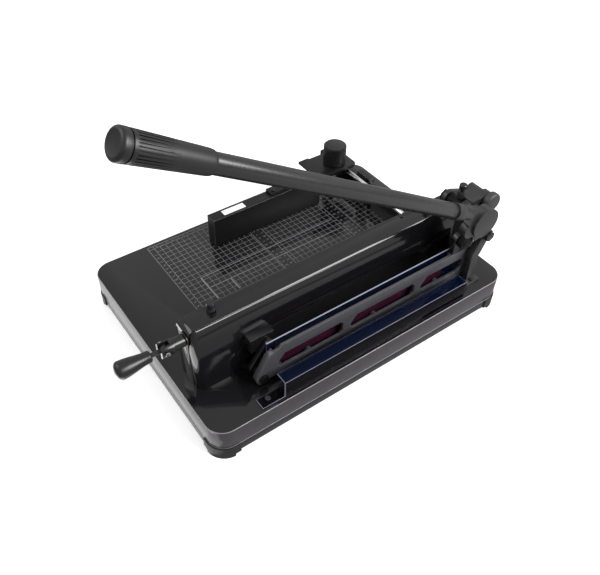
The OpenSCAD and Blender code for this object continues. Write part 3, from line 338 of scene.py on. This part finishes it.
def strip(bm, p, q, width):
    """A thin printed line from p to q, in deck millimetres (inset, along)."""
    a, b = Vector(p), Vector(q)
    side = (b - a).normalized().orthogonal() * width / 2
    ring = [a + side, a - side, b - side, b + side]
    low, top = [[bm.verts.new(at(v.x, v.y, z)) for v in ring] for z in PRINT_Z]
    bm.faces.new(top)
    bm.faces.new(low[::-1])
    for i in range(4):
        bm.faces.new((low[i], low[(i + 1) % 4], top[(i + 1) % 4], top[i]))


# Seven strokes of a digit in a unit cell, and the strokes that each digit uses.
STROKES = [((0, 1), (1, 1)), ((1, 1), (1, .5)), ((1, .5), (1, 0)), ((0, 0), (1, 0)), ((0, .5), (0, 0)),
           ((0, 1), (0, .5)), ((0, .5), (1, .5))]
DIGITS = ["012345", "12", "01643", "01623", "5612", "05623", "056432", "012", "0123456", "0123562"]


def digit(bm, value, inset, along, size):
    """A small plain digit, read from the front, centred at a place on the deck."""
    wide = size * 0.5
    left = inset + wide / 2
    low = along - size / 2
    for s in DIGITS[value]:
        (ax, ay), (bx, by) = STROKES[int(s)]
        strip(bm, (left - ax * wide, low + ay * size), (left - bx * wide, low + by * size), size * 0.075)


def grid_print():
    """A centimetre grid with a frame, two number bands across it and guide lines for sheet sizes."""
    bm = bmesh.new()
    left, right = 381.0, 128.5
    front, rear = 94.5, 470.0
    column = 6.5
    cell = 10.0
    fine, frame_line, band_line, guide, guide_end = 0.42, 0.55, 0.6, 0.9, 1.4
    numbers, column_numbers = 4.6, 3.4
    first = front + cell
    inner = left - column
    bands = [(257.5, 278.5), (401.0, 422.0)]
    for y in (front, first):
        strip(bm, (left, y), (right, y), frame_line)
    for x in (left, inner):
        strip(bm, (x, front), (x, rear), frame_line)

    # Crossing lines, left out where a number band runs.
    y = first + cell
    while y < rear:
        if not any(lo - 2 < y < hi + 2 for lo, hi in bands):
            strip(bm, (inner, y), (right, y), fine)
        y += cell
    for lo, hi in bands:
        for y in (lo, hi):
            strip(bm, (left, y), (right, y), band_line)
    x = inner - cell
    while x > right + 1:
        start = first
        for lo, hi in bands + [(rear, rear)]:
            strip(bm, (x, start), (x, lo), fine)
            start = hi
        x -= cell

    # Heavier guide lines for standard sheet sizes.
    for x in (271.0, 244.0):
        strip(bm, (x, 136), (x, 393), guide)
    strip(bm, (271, 133), (217, 133), guide_end)
    strip(bm, (244, 172), (217, 172), guide_end)

    # Digits: along the front, down the left column and in the bands.
    columns = [(k, inner - cell * (k - 0.5)) for k in range(1, 24)]
    for k, x in columns:
        digit(bm, k % 10, x - 10, front + cell / 2, numbers)
    for k in range(36):
        digit(bm, k % 10, left - column / 2, first + cell * (k + 0.5), column_numbers)
    for lo, hi in bands:
        middle = (lo + hi) / 2
        for k, x in columns:
            digit(bm, k % 10, x, middle + numbers, numbers)
            digit(bm, k * 3 % 10, x, middle - numbers, numbers)
    mesh_piece("grid_print", bm, "print", "base")


grid_print()

# ------------------------------------------------------------------ stage, light and camera

def seen_and_lit(nt, seen, lit, output):
    """Shows one shader to the camera, and another to every reflection and bounce of light."""
    ray = nt.nodes.new("ShaderNodeLightPath")
    mix = nt.nodes.new("ShaderNodeMixShader")
    nt.links.new(ray.outputs["Is Camera Ray"], mix.inputs["Fac"])
    nt.links.new(lit.outputs[0], mix.inputs[1])
    nt.links.new(seen.outputs[0], mix.inputs[2])
    nt.links.new(mix.outputs[0], nt.nodes[output].inputs["Surface"])


def floor_material():
    """The camera sees a bright sweep, and the object has a grayer table in its reflections."""
    mat, nt, bsdf, coord = new_material("floor_white")
    pale = tint(nt, noise(nt, coord, 3), (0.90, 0.90, 0.90), (0.94, 0.94, 0.94))
    nt.links.new(pale, bsdf.inputs["Base Color"])
    bsdf.inputs["Roughness"].default_value = 0.9
    bsdf.inputs["Specular IOR Level"].default_value = 0.1
    glow = nt.nodes.new("ShaderNodeEmission")
    glow.inputs["Strength"].default_value = 0.4
    bright = nt.nodes.new("ShaderNodeAddShader")
    nt.links.new(bsdf.outputs[0], bright.inputs[0])
    nt.links.new(glow.outputs[0], bright.inputs[1])
    table = nt.nodes.new("ShaderNodeBsdfDiffuse")
    table.inputs["Color"].default_value = (0.32, 0.32, 0.32, 1)
    seen_and_lit(nt, bright, table, "Material Output")
    return mat


def floor():
    """A wide flat floor under the feet."""
    bm = bmesh.new()
    bmesh.ops.create_grid(bm, x_segments=1, y_segments=1, size=60)
    mesh = bpy.data.meshes.new("floor")
    bm.to_mesh(mesh)
    bm.free()
    mesh.materials.append(floor_material())
    obj = bpy.data.objects.new("floor", mesh)
    bpy.context.scene.collection.objects.link(obj)


def white(node, strength):
    """Sets a background node to plain white."""
    node.inputs["Color"].default_value = (1, 1, 1, 1)
    node.inputs["Strength"].default_value = strength
    return node


def studio_world():
    """A plain white surround, darker for the lighting than for the backdrop."""
    world = bpy.data.worlds.new("studio")
    world.use_nodes = True
    nt = world.node_tree
    surround = white(nt.nodes["Background"], 0.68)
    backdrop = white(nt.nodes.new("ShaderNodeBackground"), 1.0)
    seen_and_lit(nt, backdrop, surround, "World Output")
    bpy.context.scene.world = world


def area_light(name, place, target, size, power):
    """A rectangular lamp that shines on a target, in metres and watts. The camera doesn't see it."""
    data = bpy.data.lights.new(name, "AREA")
    data.shape = "RECTANGLE"
    data.size, data.size_y = size
    data.energy = power
    obj = bpy.data.objects.new(name, data)
    obj.location = place
    obj.rotation_euler = (Vector(target) - Vector(place)).to_track_quat("-Z", "Y").to_euler()
    obj.visible_camera = False
    bpy.context.scene.collection.objects.link(obj)


def floor_strip(name, x, ahead, size, power):
    """A faint lamp just above the floor, ahead of the front edge, that shines up as a pale table would."""
    place = Vector((x, FRONT - ahead, 2 * MM))
    area_light(name, place, place + Vector((0, 0, 1)), size, power)


def camera():
    """High on the operator's right, looking down at the grid and the knife."""
    yaw, pitch = math.radians(53.2), math.radians(44.93)
    roll = 0.0297
    place = (0.6345, -0.4351, 0.8131)
    forward = Vector((-math.sin(yaw) * math.cos(pitch), math.cos(yaw) * math.cos(pitch), -math.sin(pitch)))
    level = Vector((math.cos(yaw), math.sin(yaw), 0))
    over = level.cross(forward)
    right = level * math.cos(roll) + over * math.sin(roll)
    up = over * math.cos(roll) - level * math.sin(roll)
    data = bpy.data.cameras.new("camera")
    data.lens = 40.8
    data.sensor_width = 36
    data.clip_end = 50
    obj = bpy.data.objects.new("camera", data)
    basis = Matrix((right, up, -forward)).transposed().to_4x4()
    obj.matrix_world = Matrix.Translation(place) @ basis
    bpy.context.scene.collection.objects.link(obj)
    bpy.context.scene.camera = obj


floor()
studio_world()
bpy.context.scene.view_settings.view_transform = "Standard"
area_light("edge_light", (1.35, 0.86, 1.20), (0.05, 0.0, 0.1), (1.2, 0.9), 44)
area_light("key", (-0.9, -1.3, 1.9), (0, 0, 0.1), (1.2, 1.2), 14)
floor_strip("front_bounce", -0.025, 0.023, (0.46, 0.045), 0.06)
floor_strip("front_table", -0.02, 0.115, (0.5, 0.12), 0.75)
camera()
